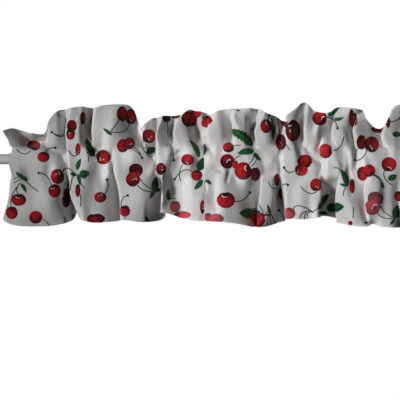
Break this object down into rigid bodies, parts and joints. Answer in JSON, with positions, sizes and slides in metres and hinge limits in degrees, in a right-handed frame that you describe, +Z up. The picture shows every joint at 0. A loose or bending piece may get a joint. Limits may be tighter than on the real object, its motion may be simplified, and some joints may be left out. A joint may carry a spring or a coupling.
{
  "type": "window valance on a curtain rod",
  "caption": "Gathered rod-pocket cotton valance with a standing ruffled header and a cherry print, hung on a plain round white curtain rod.",
  "frame": {"origin": "centre of the curtain rod's left end face", "axes": "+X along the rod from its left end to its right end, +Z up, and the valance's printed front faces -Y"},
  "size_m": [0.96, 0.0683, 0.2513],
  "materials": {
    "printed_cotton": "soft matte plain-weave white cotton with a print of red cherries, stems and green leaves",
    "rod_white": "smooth satin white enamel"
  },
  "bodies": {
    "root": {"panel_left": "printed_cotton", "panel_right": "printed_cotton", "rod": "rod_white"}
  },
  "joints": []
}
